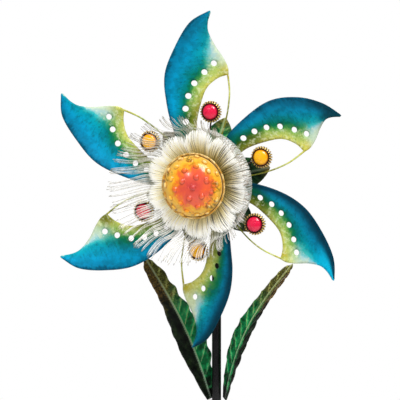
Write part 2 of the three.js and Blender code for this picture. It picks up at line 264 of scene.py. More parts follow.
def flat_sheet(outline, holes, spacing):
    """Triangles that fill an outline with holes: points (n, 2) and triangles (m, 3)."""
    loops = [outline, *holes]
    lo, hi = np.min(outline, axis=0), np.max(outline, axis=0)
    rows, columns = np.arange(lo[1], hi[1], spacing * 0.87), np.arange(lo[0], hi[0], spacing)
    grid = np.array([(x + (i % 2) * spacing / 2, y) for i, y in enumerate(rows) for x in columns])
    keep = within(grid, outline, holes)
    for loop in loops:
        keep &= distance(grid, loop, closed=True) > spacing * 0.55
    coords, edges = [], []
    for loop in loops:
        ring = list(range(len(coords), len(coords) + len(loop)))
        coords += [Vector(p) for p in loop]
        edges += list(zip(ring, ring[1:] + ring[:1]))
    coords += [Vector(p) for p in grid[keep]]
    points, _, tris, *_ = delaunay_2d_cdt(coords, edges, [], 0, 1e-6)
    points = np.array([tuple(p) for p in points])
    tris = np.array([list(t) for t in tris])
    return points, tris[within(points[tris].mean(axis=1), outline, holes)]


def thick_sheet(points, tris, height, thickness):
    """A closed sheet of even thickness over flat points: vertices, faces, and which faces are its edge."""
    p = np.column_stack([points, height(points[:, 0], points[:, 1])])
    normal = np.zeros_like(p)
    a, b, c = (p[tris[:, k]] for k in range(3))
    face_normal = np.cross(b - a, c - a)
    up = face_normal[:, 2:3] > 0
    face_normal = np.where(up, face_normal, -face_normal)
    tris = np.where(up, tris, tris[:, ::-1])
    for k in range(3):
        np.add.at(normal, tris[:, k], face_normal)
    normal /= np.linalg.norm(normal, axis=1, keepdims=True)
    front, back = p + normal * thickness / 2, p - normal * thickness / 2
    n = len(p)
    faces = tris.tolist() + (tris[:, ::-1] + n).tolist()
    seen = dict.fromkeys(edge for a, b, c in tris.tolist() for edge in ((a, b), (b, c), (c, a)))
    rim = [(a, b) for a, b in seen if (b, a) not in seen]
    faces += [[b, a, a + n, b + n] for a, b in rim]
    flat = [False] * (2 * len(tris)) + [True] * len(rim)
    return np.vstack([front, back]), faces, flat


def sheet_values(points, scale, shift, **values):
    """The values on both faces of a sheet, and where its paint's pattern lies."""
    n = len(points)
    made = {key: np.tile(np.broadcast_to(value, n), 2) for key, value in values.items()}
    made["flat"] = np.column_stack([np.tile(points, (2, 1)) / scale, np.zeros(2 * n)]) + shift
    return made


# ---- materials ----

class Nodes:
    """Short calls for the nodes of one tree."""

    def __init__(self, tree):
        self.tree = tree

    def feed(self, socket, value):
        if isinstance(value, bpy.types.NodeSocket):
            self.tree.links.new(value, socket)
        else:
            socket.default_value = value

    def node(self, kind, inputs=(), **props):
        made = self.tree.nodes.new("ShaderNode" + kind)
        for key, value in props.items():
            setattr(made, key, value)
        for key, value in dict(inputs).items():
            self.feed(made.inputs[key], value)
        return made

    def value(self, name, output="Fac"):
        return self.node("Attribute", attribute_name=name).outputs[output]

    def place(self):
        return self.node("TexCoord").outputs["Object"]

    def noise(self, where, scale, detail=4.0, roughness=0.55):
        inputs = {"Vector": where, "Scale": scale, "Detail": detail, "Roughness": roughness}
        return self.node("TexNoise", inputs).outputs["Fac"]

    def stretched(self, where, scale):
        return self.node("Mapping", {"Vector": where, "Scale": scale}).outputs["Vector"]

    def math(self, operation, a, b=0.0, c=0.0):
        return self.node("Math", {0: a, 1: b, 2: c}, operation=operation).outputs[0]

    def times(self, *factors):
        product = factors[0]
        for factor in factors[1:]:
            product = self.math("MULTIPLY", product, factor)
        return product

    def vary(self, value, noise, amount):
        """The value with a noise of 0 to 1 added to it, as much below it as above."""
        return self.math("ADD", value, self.math("MULTIPLY_ADD", noise, amount, -amount / 2))

    def step(self, factor, lo, hi):
        inputs = {"Value": factor, "From Min": lo, "From Max": hi}
        return self.node("MapRange", inputs, interpolation_type="SMOOTHSTEP").outputs["Result"]

    def ramp(self, factor, stops, passage="EASE"):
        """Passages between (position, linear colour) stops."""
        made = self.node("ValToRGB", {"Fac": factor})
        ramp = made.color_ramp
        ramp.interpolation = passage
        while len(ramp.elements) < len(stops):
            ramp.elements.new(0.5)
        for element, (position, colour) in zip(ramp.elements, stops):
            element.position = position
            element.color = (*colour, 1.0)
        return made.outputs["Color"]

    def tones(self, factor, *stops):
        """A ramp whose stops are (position, red, green, blue), with the colour as 0 to 255 on screen."""
        return self.ramp(factor, [(position, srgb(*colour)) for position, *colour in stops])

    def mix(self, share, a, b):
        made = self.node("Mix", {0: share}, data_type="RGBA")
        for key, value in ((6, a), (7, b)):
            self.feed(made.inputs[key], (*value, 1.0) if isinstance(value, tuple) else value)
        return made.outputs[2]

    def over(self, under, top, *shares):
        """A node's colour, or one of 0 to 255 on screen, laid over another by the product of the shares."""
        return self.mix(self.times(*shares), under, srgb(*top) if isinstance(top, tuple) else top)


class Paint(Nodes):
    """A node material with one Principled shader."""

    def __init__(self, name, **settings):
        self.material = bpy.data.materials.new(name)
        self.material.use_nodes = True
        super().__init__(self.material.node_tree)
        self.shader = self.tree.nodes["Principled BSDF"]
        for key, value in settings.items():
            self.set(key.replace("_", " "), value)

    def set(self, key, value):
        self.feed(self.shader.inputs[key], value)

    def glow(self, colour, strength):
        self.set("Emission Color", colour)
        self.set("Emission Strength", strength)

    def finished(self, colour, height, strength, distance):
        """The material, given its colour and a relief by height."""
        inputs = {"Height": height, "Strength": strength, "Distance": distance}
        self.set("Base Color", colour)
        self.set("Normal", self.node("Bump", inputs).outputs["Normal"])
        return self.material


def srgb(r, g, b):
    """A colour given as 0 to 255 on screen, as the shader's linear colour."""
    return tuple(((c / 255 + 0.055) / 1.055) ** 2.4 if c > 10 else c / 255 / 12.92 for c in (r, g, b))


def blade_paint():
    """Blue at the leading edge, teal, then green and yellow past the line of holes; olive at the root."""
    p = Paint("blade_paint", Specular_IOR_Level=0.06)
    flat, across, along = p.value("flat", "Vector"), p.value("across"), p.value("along")
    blotch = p.noise(flat, 3.2, 5, 0.62)
    brushed = p.noise(p.stretched(flat, (2.2, 4.4, 1)), 4.0, 6, 0.7)
    cloud = p.noise(p.stretched(flat, (1.6, 0.9, 1)), 1.7, 4, 0.55)
    reach = p.vary(along, cloud, 0.2)
    past_lead = p.step(across, 0.1, 0.4)
    before = p.step(across, LINE_SHARE, LINE_SHARE - 0.1)
    after = p.step(across, LINE_SHARE, LINE_SHARE + 0.06)

    spread = p.times(p.value("green"), past_lead, p.step(along, 0.95, 0.7))
    shifted = p.math("ADD", p.vary(p.vary(across, blotch, 0.3), brushed, 0.24), spread)
    inner = p.tones(shifted, (0.0, 0, 84, 116), (0.08, 1, 130, 172), (0.2, 1, 152, 198), (0.34, 1, 142, 176),
                    (0.46, 1, 124, 130), (0.58, 4, 114, 74), (0.67, 56, 134, 66), (0.76, 126, 168, 80),
                    (0.87, 172, 192, 98), (1.0, 204, 204, 98))
    outer = p.tones(shifted, (0.0, 0, 84, 112), (0.1, 1, 130, 172), (0.28, 1, 152, 196), (0.42, 1, 150, 180),
                    (0.54, 4, 158, 174), (0.63, 56, 184, 186), (0.71, 120, 196, 200), (0.8, 168, 206, 206),
                    (1.0, 196, 214, 186))
    root = p.tones(shifted, (0.0, 2, 84, 74), (0.3, 4, 100, 66), (0.55, 14, 84, 32), (0.75, 66, 88, 22),
                   (0.9, 112, 122, 40), (1.0, 136, 132, 48))
    colour = p.mix(p.step(reach, 0.64, 0.77), inner, outer)
    colour = p.over(colour, (190, 172, 44), p.value("corner"), p.step(cloud, 0.4, 0.54), 0.85)
    inward = p.math("SUBTRACT", reach, p.times(across, 0.18))
    colour = p.over(colour, root, p.step(inward, 0.4, 0.22))

    patch = p.step(p.noise(flat, 6.0, 6, 0.66), 0.46, 0.6)
    colour = p.over(colour, (1, 96, 116), patch, before, 0.4)
    colour = p.over(colour, (1, 82, 88), p.step(brushed, 0.5, 0.64), before, past_lead, 0.55)
    # painted shade: the leading side darkened blade by blade, where it tilts away from the light
    colour = p.over(colour, (1, 46, 64), p.value("dim"), p.step(across, 0.42, 0.06))
    tip = p.times(p.value("dim_tip"), p.step(reach, 0.76, 0.92))
    colour = p.over(colour, (1, 48, 60), p.math("MAXIMUM", tip, 0.0))
    bright = p.math("MAXIMUM", p.times(tip, -1.0), 0.0)
    colour = p.over(colour, (8, 200, 244), bright, p.step(across, 0.12, 0.34))
    stain = p.step(p.noise(flat, 5, 4, 0.6), 0.36, 0.52)
    colour = p.over(colour, (92, 98, 20), p.value("olive"), stain, 0.9)
    pale = p.step(p.noise(flat, 9, 5, 0.7), 0.5, 0.6)
    colour = p.over(colour, (228, 236, 200), after, pale, 0.4)
    rub = p.step(p.noise(flat, 16, 5, 0.75), 0.53, 0.62)
    colour = p.over(colour, (108, 128, 40), after, rub, p.step(reach, 0.8, 0.6), 0.55)
    p.set("Roughness", p.math("MULTIPLY_ADD", blotch, 0.3, 0.3))
    return p.finished(colour, p.noise(flat, 30, 3), 0.12, 0.0006)


def leaf_paint():
    """Green enamel with painted highlights on the raised veins, painted shade near black in the hollows, on
    the shaded half and at the root, and bronze at the tip.
    """
    p = Paint("leaf_paint", Roughness=0.4, Specular_IOR_Level=0.2)
    flat = p.value("flat", "Vector")
    cloud, fine = p.noise(flat, 2.6, 5, 0.6), p.noise(flat, 14, 5, 0.7)
    relief, reach = p.value("relief"), p.vary(p.value("along"), cloud, 0.6)
    deep = p.tones(cloud, (0.4, 2, 78, 38), (0.48, 4, 122, 64), (0.56, 12, 160, 88), (0.64, 60, 186, 108))
    shade = p.tones(cloud, (0.38, 6, 9, 6), (0.5, 14, 24, 13), (0.62, 30, 44, 22))
    tip = p.tones(fine, (0.38, 52, 38, 12), (0.46, 96, 82, 28), (0.54, 128, 122, 50), (0.62, 176, 180, 92))
    dim_tip = p.tones(fine, (0.38, 32, 22, 8), (0.5, 96, 70, 26), (0.62, 146, 118, 50))
    colour = p.mix(p.step(reach, 0.6, 0.8), deep, tip)
    # painted shade: near black in the hollows between the veins
    colour = p.over(colour, (8, 40, 20), p.step(relief, 0.3, 0.02), 0.45)
    # painted highlight: the raised veins lighten to pale green and yellow
    raised = p.step(p.math("MULTIPLY_ADD", fine, 0.6, relief), 0.68, 1.1)
    colour = p.over(colour, p.mix(reach, srgb(120, 206, 146), srgb(206, 206, 120)), raised, 0.65)
    # painted shade: where side is high, the shaded half of a stem leaf and the rear leaves take the near
    # black shade colour, and dim_tip is the shaded copy of the bronze tip
    colour = p.over(colour, p.mix(p.step(reach, 0.62, 0.84), shade, dim_tip), p.value("side"))
    colour = p.over(colour, shade, p.step(reach, 0.2, 0.02))
    colour = p.over(colour, (176, 190, 172), p.value("rib"), 0.6)
    return p.finished(colour, fine, 0.15, 0.0008)


def film_paint():
    """Clear film strips, each white along one edge and outlined in greyish tan along the other."""
    p = Paint("film", Roughness=0.35, Specular_IOR_Level=0.3)
    flat, along = p.value("flat", "Vector"), p.value("along")
    across = p.math("MULTIPLY_ADD", p.value("edge"), 0.5, 0.5)
    tone = p.noise(flat, 6, 3)
    white = p.tones(tone, (0.4, 236, 238, 234), (0.6, 253, 253, 252))
    outline = p.tones(tone, (0.4, 88, 82, 62), (0.6, 168, 160, 136))
    end = p.step(along, 0.955, 0.99)
    colour = p.mix(p.math("MAXIMUM", p.step(across, 0.72, 0.84), end), white, outline)
    colour = p.over(colour, (150, 136, 88), p.step(along, 0.4, 0.1))
    p.glow(colour, 0.12)
    shares = [(0.0, 0.85), (0.12, 0.75), (0.22, 0.24), (0.72, 0.22), (0.84, 0.8), (1.0, 0.85)]
    cover = p.ramp(across, [(at, (share,) * 3) for at, share in shares])
    cover = p.math("ADD", cover, p.times(p.step(along, 0.68, 0.5), 0.3))
    p.set("Alpha", p.math("MAXIMUM", cover, p.times(end, 0.6)))
    return p.finished(colour, p.noise(flat, 12, 2), 0.1, 0.0005)


def fibre_paint():
    """Fine fibres, olive brown by the dome and white at the ends, with a dark one here and there and more of
    them on the right as painted shade.
    """
    p = Paint("fibre", Roughness=0.55, Specular_IOR_Level=0.25)
    along, tone_and_shade = p.value("along"), p.value("tone_and_shade")
    reach = p.vary(along, tone_and_shade, 0.26)
    colour = p.tones(reach, (0.0, 132, 108, 40), (0.2, 168, 146, 74), (0.4, 206, 190, 124),
                     (0.58, 234, 226, 190), (0.76, 248, 246, 236), (1.0, 253, 253, 251))
    # dark fibres, some at random and more on the right as painted shade
    colour = p.over(colour, (58, 46, 20), p.step(tone_and_shade, 0.8, 0.92), p.step(along, 0.95, 0.6), 0.9)
    p.glow(colour, 0.2)
    return p.finished(colour, p.noise(p.place(), 700, 2), 0.1, 0.0002)


def dome_paint():
    """Coral in the middle, orange, then amber and yellow at the rim, as tinted glass, with painted
    reflections towards the rim, painted shade at the foot of each bump and painted highlights on the outer
    bump tops.
    """
    p = Paint("dome_glass_paint", Roughness=0.18, Specular_IOR_Level=0.5)
    flat, out, bump = p.value("flat", "Vector"), p.value("out"), p.value("bump")
    cloud = p.noise(flat, 1.9, 4, 0.6)
    reach = p.vary(p.vary(p.value("core"), cloud, 0.9), p.noise(flat, 6.5, 4, 0.6), 0.3)
    colour = p.tones(reach, (0.0, 204, 66, 62), (0.3, 222, 82, 62), (0.5, 234, 94, 54), (0.6, 240, 120, 36),
                     (0.7, 246, 162, 30), (0.82, 250, 188, 50), (1.0, 240, 186, 72))
    mottle, where = p.step(p.noise(flat, 7.0, 5, 0.7), 0.47, 0.56), p.step(p.noise(flat, 1.3, 2), 0.46, 0.54)
    # painted reflection: dark olive patches towards the rim
    colour = p.over(colour, (112, 84, 10), p.step(out, 0.6, 0.85), mottle, where, 0.8)
    # painted shade: a darker ring in the crease at the foot of each bump
    colour = p.over(colour, (168, 52, 10), p.step(bump, 0.0, 0.08), p.step(bump, 0.7, 0.25), 0.5)
    # painted highlight: pale yellow on the tops of the outer bumps
    top = p.times(p.step(bump, 0.5, 0.9), p.step(cloud, 0.48, 0.6), p.step(out, 0.5, 0.75))
    colour = p.over(colour, (248, 226, 160), top, 0.7)
    colour = p.over(colour, (250, 206, 130), p.step(out, 0.99, 1.0))
    return p.finished(colour, p.noise(flat, 5, 2), 0.08, 0.001)


def gem_paint(name, deep, bright, pale):
    """Glass with fine upright streaks."""
    p = Paint(name, Roughness=0.2, Specular_IOR_Level=0.3, Coat_Weight=0.5, Coat_Roughness=0.05)
    flat = p.value("flat", "Vector")
    streak = p.noise(p.stretched(flat, (5, 0.9, 1)), 3.0, 5, 0.65)
    colour = p.tones(streak, (0.3, *deep), (0.52, *bright), (0.72, *pale))
    colour = p.over(colour, bright, p.step(p.noise(flat, 1.3, 3), 0.4, 0.7))
    colour = p.over(colour, deep, p.step(p.value("out"), 0.8, 1.0))
    p.set("Base Color", colour)
    return p.material


def bezel_paint():
    """Dark bronze, rubbed to gold on the teeth."""
    p = Paint("bezel", Roughness=0.35, Metallic=0.55)
    where = p.place()
    worn = p.math("MULTIPLY_ADD", p.noise(where, 500, 4), 0.5, p.value("gold"))
    colour = p.tones(worn, (0.4, 48, 24, 12), (0.7, 104, 66, 26), (1.05, 226, 190, 110))
    return p.finished(colour, p.noise(where, 900, 3), 0.2, 0.0004)


def satin_steel():
    p = Paint("satin_steel", Metallic=0.9)
    where = p.place()
    brushed = p.noise(p.stretched(where, (1, 0.05, 1)), 1600, 3)
    p.set("Roughness", p.math("MULTIPLY_ADD", brushed, 0.2, 0.25))
    colour = p.tones(p.noise(where, 90, 4), (0.3, 150, 150, 152), (0.7, 200, 202, 205))
    return p.finished(colour, brushed, 0.08, 0.0003)


def simple_paint(name, mottle, dark, light, grain, relief, stretch=(1, 1, 1), **settings):
    """Two tones mottled by one noise (scale, detail), over a fine grain of another."""
    p = Paint(name, **settings)
    where = p.place()
    fine = p.noise(p.stretched(where, stretch), *grain)
    return p.finished(p.tones(p.noise(where, *mottle), dark, light), fine, *relief)


PAINTS = {
    "blue_blade": blade_paint(),
    "green_leaf": leaf_paint(),
    "white_film": film_paint(),
    "white_fibre": fibre_paint(),
    "coral_glass": dome_paint(),
    "red_glass": gem_paint("red_gem", (170, 0, 40), (228, 16, 66), (255, 84, 130)),
    "amber_glass": gem_paint("amber_gem", (214, 124, 0), (250, 180, 0), (255, 206, 60)),
    "bronze_bezel": bezel_paint(),
    "steel_hardware": satin_steel(),
    "black_frame": simple_paint("gloss_black", (60, 4), (0.4, 6, 6, 7), (0.6, 15, 15, 16), (900, 3),
                                (0.06, 0.0004), (1, 1, 0.3), Roughness=0.24, Specular_IOR_Level=0.4),
    "nylon_bush": simple_paint("nylon", (120, 3), (0.3, 214, 210, 196), (0.7, 235, 232, 222), (1500, 2),
                               (0.1, 0.0002), Roughness=0.55),
    "bronze_wire": simple_paint("bronze", (220, 4), (0.3, 30, 22, 14), (0.7, 84, 66, 40), (1100, 3),
                                (0.15, 0.0003), Roughness=0.4, Metallic=0.5),
    "gold_rim": simple_paint("gold_rim", (180, 4), (0.4, 206, 156, 62), (0.6, 248, 220, 150), (700, 3),
                             (0.12, 0.0003), Roughness=0.3, Metallic=0.25),
}


# ---- blades ----

def blade_height(x, y, twist):
    root = smooth(y, 30, 60)
    reach = np.maximum(0, y - 110)
    cup = 0.0047 * x * x - 0.145 * x
    return -8 + root * cup + 0.0019 * reach * reach - 0.0031 * reach * x + twist * x * smooth(y, 50, 100)


LEADING = [(-11, 30), (-36, 57), (-49, 102), (-50, 144), (-35, 182), (-14.5, 212), (9.5, 227)]
TIP = [(9.5, 227), (12.4, 227.6), (12.7, 225)]
TRAILING = [(12.7, 225), (8, 213), (7.5, 200), (15, 183), (24.5, 169), (31, 156), (32, 147)]
RIM = [(32, 147), (35, 117), (30.5, 84), (20, 50), (11, 30)]
EYE_INNER = [(30, 145), (16, 139.5), (1, 125), (-7.5, 99), (-11, 73), (-5, 50), (6, 44)]
EYE_OUTER = [(6, 44), (17.7, 50.4), (28.7, 84), (33.2, 117), (30, 145)]
HOLES = [(12, 160.5), (-1, 148), (-14.5, 132.5), (-22.5, 115), (-26, 97.5), (-25.5, 79.5)]
FOOT_LEFT, FOOT_RIGHT = (-8, 20), (8, 20)
COLOUR_LINE = [(-14, 20), (-20, 55), (-23.5, 79.5), (-24, 97.5), (-20.5, 115), (-12.5, 132.5), (-2, 148),
               (4, 165), (8.5, 190), (10, 214), (12.5, 228)]


def circle(x, y, r, sides):
    spokes = [around(r, 2 * math.pi * i / sides) for i in range(sides)]
    return [(x + dx, y + dy) for dx, dy, _ in spokes]


def make_blade(i, swing, out, twist, tip, paint):
    def shifted(line):
        shares = [float(smooth(y, 165, BLADE_TIP)) for _, y in line]
        return [(x + tip[0] * s, y + tip[1] * s) for (x, y), s in zip(line, shares)]

    lead, end, trail = spline(shifted(LEADING), 14), spline(shifted(TIP), 4), spline(shifted(TRAILING), 8)
    rim = spline(RIM, 14)
    outline = [FOOT_LEFT] + lead + end[1:] + trail[1:] + rim[1:] + [FOOT_RIGHT]
    eye = spline(EYE_INNER, 9)[:-1] + spline(EYE_OUTER, 12)[:-1]
    holes = [eye] + [circle(x, y, HOLE_R, 26) for x, y in HOLES]
    points, tris = flat_sheet(outline, holes, 3.0)
    line = spline(shifted(COLOUR_LINE), 8)
    to_lead = distance(points, [FOOT_LEFT] + lead)
    to_line = distance(points, line)
    to_trail = distance(points, spline(EYE_INNER, 9) + trail[::-1])
    before = inside(points, [FOOT_LEFT] + lead + line[::-1]) | (to_lead < 0.5)
    across = np.where(before, LINE_SHARE * to_lead / (to_lead + to_line + 1e-6),
                      LINE_SHARE + (1 - LINE_SHARE) * to_line / (to_line + to_trail + 1e-6))
    verts, faces, flat = thick_sheet(points, tris, lambda x, y: blade_height(x, y, twist), BLADE_SHEET)
    dim, dim_tip, green, olive = paint
    x, y = points.T
    values = sheet_values(points, 60, (i * 3.1, i * 1.7, 0),
                          across=np.clip(across, 0, 1), along=y / BLADE_TIP,
                          corner=1 - smooth(np.hypot(x - 30, y - 146), 3, 17), dim=dim, dim_tip=dim_tip,
                          green=green, olive=olive * (1 - smooth(np.hypot(x - 33, y - 146), 6, 26)))
    piece(f"blade_sheet_{i + 1}", f"blade_{i + 1}", verts + np.array([0, out, 0]), faces,
          turned_by(60 * i + swing), flat, values)


# ---- leaves ----

def vein_relief(x, y, spacing, rise, width):
    """0 in the hollows to 1 on the midrib and the side veins."""
    rib = np.exp(-((x / (0.045 * width)) ** 2))
    phase = ((y - rise * np.abs(x)) / spacing) % 1.0
    vein = np.exp(-(((phase - 0.5) / 0.13) ** 2)) * smooth(np.abs(x), 0, 0.1 * width)
    return np.maximum(rib, 0.75 * vein)


def rear_leaf_outline(steps):
    tip, half = REAR_LEAF["tip"], REAR_LEAF["width"] / 2
    left = bezier((-5, 15), (-6, 34), (-half * 1.15, 36), (-half, 58), steps)
    left += bezier((-half, 58), (-half * 0.9, 74), (-9, 86), (0, tip), steps)
    return [(-5, 15)] + left + [(-x, y) for x, y in left[-2::-1]] + [(5, 15)]


def make_rear_leaves():
    tip, width, z = REAR_LEAF["tip"], REAR_LEAF["width"], REAR_LEAF["z"]

    def height(x, y):
        cup = z + smooth(y, 27, 50) * 0.09 * np.abs(x) - 3 * smooth(y, 60, tip)
        emboss = vein_relief(x, y, 11, 0.9, width) * smooth(y, 22, 36)
        return cup + 1.1 * emboss + 0.5 * np.sin(y / 6.5) * smooth(np.abs(x), 8, 20)

    points, tris = flat_sheet(rear_leaf_outline(16), [], 1.7)
    verts, faces, flat = thick_sheet(points, tris, height, REAR_LEAF["sheet"])
    x, y = points.T
    relief, rib = vein_relief(x, y, 11, 0.9, width), 0.6 * np.exp(-((x / 0.9) ** 2))
    along = mix(0.1, 0.8, (y - 15) / (tip - 15))
    for i in range(REAR_LEAF["count"]):
        # painted shade: all rear leaves but the first carry the shaded colour, for their tilt away from the
        # light
        values = sheet_values(points, 30, (i * 2.3, i * 4.1, 0), relief=relief, rib=rib, along=along,
                              side=0.1 if i == 0 else 0.8)
        piece(f"rear_leaf_sheet_{i + 1}", f"rear_leaf_{i + 1}", verts, faces,
              turned_by(REAR_LEAF["turn"] + 60 * i), flat, values)


def make_stem_leaf(side, word):
    length, fold = STEM_LEAF["length"], STEM_LEAF["fold"]
    edge = spline(LEAF_EDGE + [(0, length)], 12)[:-1]
    waves = (0.4, 1.2) if side > 0 else (1.2, 0.4)
    crimp = 4.1
    right = [(x + waves[0] * math.sin(y / crimp) * float(smooth(y, 10, 40)), y) for x, y in edge]
    left = [(-x - waves[1] * math.sin(y / crimp + 2) * float(smooth(y, 10, 40)), y) for x, y in edge]
    outline = right + [(0.0, float(length))] + left[::-1]

    def height(x, y):
        bend = fold * np.sqrt(x * x + 2) + 17.5 * np.sin(np.pi * y / length) - 3 * (y / length) ** 2
        emboss = vein_relief(x, y, 19, 1.25, 44) * smooth(y, 4, 30)
        ruffle = np.where(x * side > 0, 0.5, 1.6) * np.sin(y / crimp + np.sign(x))
        return bend + 1.6 * emboss + ruffle * smooth(np.abs(x), 7, 20)

    points, tris = flat_sheet(outline, [], 1.8)
    verts, faces, flat = thick_sheet(points, tris, height, STEM_LEAF["sheet"])
    lean = Matrix.Rotation(side * math.radians(STEM_LEAF["lean"]), 4, "Y")
    face = Matrix.Rotation(-side * math.radians(STEM_LEAF["facing"]), 4, "Z")
    stand = Matrix.Rotation(math.pi / 2, 4, "X")
    behind, reach = math.radians(STEM_LEAF["behind"]), STEM_LEAF["reach"]
    foot = (side * reach * math.cos(behind), reach * math.sin(behind), STEM_LEAF["base"])
    whole = Matrix.Translation(foot) @ lean @ face @ stand
    x, y = points.T
    # painted shade on the half of the fold that lies in shade
    painted_shade_from = (4.5, 8.0) if side > 0 else (-1.0, 1.5)
    values = sheet_values(points, 34, side * 5.0, relief=vein_relief(x, y, 19, 1.25, 44), along=y / length,
                          rib=np.exp(-((x / 0.7) ** 2)), side=smooth(x * side, *painted_shade_from))
    piece(f"stem_leaf_sheet_{word}", f"stem_leaf_{word}", verts, faces,
          lambda v: standing(whole @ Vector(v)), flat, values)


# ---- coronas ----

FILM_LINE = [(28, -2.7), (54, -1.7), (73, 10.6), (77.6, 25.2), (79.1, 50), (82.6, 72.2), (89.6, 89.3),
             (100.8, 104.4)]


def ribbon(verts, faces, rows):
    """Adds a strip two faces wide along rows of (left, middle, right) points."""
    start = len(verts)
    for row in rows:
        verts += row
    for i in range(len(rows) - 1):
        a, b = start + 3 * i, start + 3 * (i + 1)
        faces += [[a, a + 1, b + 1, b], [a + 1, a + 2, b + 2, b + 1]]


def along_line(line, steps):
    """A smooth line of (radius, z) points and the distance travelled to each."""
    curve = np.array(spline(line, steps))
    travel = np.concatenate([[0], np.cumsum(np.linalg.norm(np.diff(curve, axis=0), axis=1))])
    return curve, travel


def make_film():
    """Long translucent strips that lie back at the hub and flare ahead past the inner fringe."""
    count, steps, tufts = 176, 22, 23
    curve, travel = along_line(FILM_LINE, 12)
    verts, faces, edge, along, flat = [], [], [], [], []
    for i in range(count):
        base = 2 * math.pi * (i + random.uniform(-0.3, 0.3)) / count
        reach = random.uniform(0.965, 1.0)
        flare = random.uniform(-0.8, 1.2)
        wave, phase = random.uniform(0.004, 0.016), random.uniform(0, 6.3)
        broad, curl = random.uniform(0.55, 1.0), random.uniform(-0.02, 0.07)
        gather = 0.045 * math.sin(tufts * base)
        rows = []
        for k in range(steps + 1):
            t = k / steps
            s = t * reach * travel[-1]
            r, z = (np.interp(s, travel, curve[:, j]) for j in (0, 1))
            r += flare * t**4 + 0.7 * math.sin(phase + 6 * t) * t**3
            a = base + wave * t * math.sin(phase + 6 * t) + gather * t * t + curl * t**4
            half = math.pi * broad / count * (1 - 0.8 * float(smooth(t, 0.93, 1.01)))
            rows.append([around(r, a + d, z + 0.35 * abs(d) / half) for d in (-half, 0.0, half)])
            edge += [-1.0, 0.0, 1.0]
            along += [t] * 3
            flat += [(i * 0.7, t * 6, 0)] * 3
        ribbon(verts, faces, rows)
    piece("corona_film_strips", "corona_outer", verts, faces,
          values={"edge": edge, "along": along, "flat": flat})


LOBES, LOBE_WIDTH = 10, 0.98
FIBRE_FOOT, FIBRE_TIP = 26, 72
FIBRE_LINE = [(26, 0.5), (33, 6), (44, 14), (57, 20), (66, 20.5), (72, 17)]


def lobe_reach(a):
    """The lobed fringe's outer radius at an angle, as a share of its full radius."""
    pitch = math.pi / LOBES
    off = ((a - math.pi / 2 + pitch) % (2 * pitch)) - pitch
    centre = 1 / (1 + LOBE_WIDTH * math.sin(pitch))
    lobe = 1 - centre
    across = centre * abs(math.sin(off))
    inner = max(lobe * lobe - across * across, 0.0)
    return mix(1, centre * math.cos(off) + math.sqrt(inner) * LOBE_WIDTH, 0.65)


def make_fibres():
    """Ten rounded bundles of fine fibres that arch ahead around the dome."""
    count, steps = 1500, 9
    curve, travel = along_line(FIBRE_LINE, 10)
    verts, faces, along, tone_and_shade = [], [], [], []
    for i in range(count):
        a0 = 2 * math.pi * (i + random.uniform(-0.4, 0.4)) / count
        reach = 1.05 * lobe_reach(a0) * random.uniform(0.965, 1.0)
        lift = random.uniform(-2.0, 2.0)
        sway = random.uniform(-0.03, 0.03)
        # painted shade: a random tone per fibre, pushed darker on the right, the side seen in shade
        shade = random.random() + 0.24 * math.cos(a0)
        rows = []
        for k in range(steps + 1):
            t = k / steps
            s = t * travel[-1]
            r, z = (np.interp(s, travel, curve[:, j]) for j in (0, 1))
            r = mix(FIBRE_FOOT, FIBRE_TIP * reach, (r - FIBRE_FOOT) / (FIBRE_TIP - FIBRE_FOOT))
            half = 0.26 * (0.5 + 0.7 * t) * (1 - 0.6 * smooth(t, 0.85, 1.0))
            a = a0 + sway * t
            d = half / r
            lifted = z + lift * t + (0.7 if i % 2 else 0)
            rows.append([around(r, a + q, lifted - 0.2 * abs(q) / d) for q in (-d, 0, d)])
            along += [t] * 3
            tone_and_shade += [shade] * 3
        ribbon(verts, faces, rows)
    piece("corona_fibres", "corona_inner", verts, faces, values={"along": along, "tone_and_shade": tone_and_shade})


# ---- dome ----

def bump_centres(count):
    """Directions of bumps spread evenly over the dome, down to 78 degrees from its top."""
    golden = math.pi * (3 - math.sqrt(5))
    polars = [math.radians(78) * math.sqrt((k + 0.5) / count) for k in range(count)]
    return [Vector(around(math.sin(p), k * golden, math.cos(p))) for k, p in enumerate(polars)]


def make_dome():
    radius, height, back, bump_rise, bump_width = 44.6, 25, 40.4, 3, 0.1
    rings, sides, coral_shift = 84, 200, 0.17
    centres = bump_centres(34)
    verts, bumps, out, core, flat = [(0, 0, back + height)], [0.0], [0.0], [coral_shift], [(0, 0, 0)]
    for i in range(1, rings + 1):
        polar = math.pi / 2 * i / rings
        for k in range(sides):
            a = 2 * math.pi * k / sides
            n = Vector(around(math.sin(polar), a, math.cos(polar)))
            near = min((n - c).length for c in centres)
            bump = math.sqrt(max(0.0, 1 - (near / bump_width) ** 2))
            sunk = bump_rise - bump_rise * bump * float(1 - smooth(polar, 1.35, 1.5))
            r = radius - sunk
            verts.append((n.x * r, n.y * r, back + n.z * (height - sunk)))
            bumps.append(bump)
            out.append(math.sin(polar))
            core.append(math.hypot(n.x - coral_shift, n.y))
            flat.append((n.x * 1.6, n.y * 1.6, 0))
    faces = [[0, 1 + k, 1 + (k + 1) % sides] for k in range(sides)]
    for a in range(1, 1 + (rings - 1) * sides, sides):
        ring = [(a + k, a + (k + 1) % sides) for k in range(sides)]
        faces += [[i, i + sides, j + sides, j] for i, j in ring]
    faces.append(list(range(len(verts) - 1, len(verts) - 1 - sides, -1)))
    flats = [False] * (len(faces) - 1) + [True]
    piece("dome_bumpy_glass", "dome_glass", verts, faces, ahead, flats,
          {"bump": bumps, "out": out, "core": core, "flat": flat})
    cup = [(HUB_BORE, 4.7), (20, 5.2), (33, 18), (43, 33), (45.1, 39.0), (45.2, 39.9), (44.7, 40.3),
           (42.6, 40.3), (41.4, 33.8), (31.8, 19.4), (19.4, 6.5), (HUB_BORE, 6)]
    facing_out(piece("dome_rim_cup", "dome_cup", *revolve(cup, 96)))


# ---- gems ----

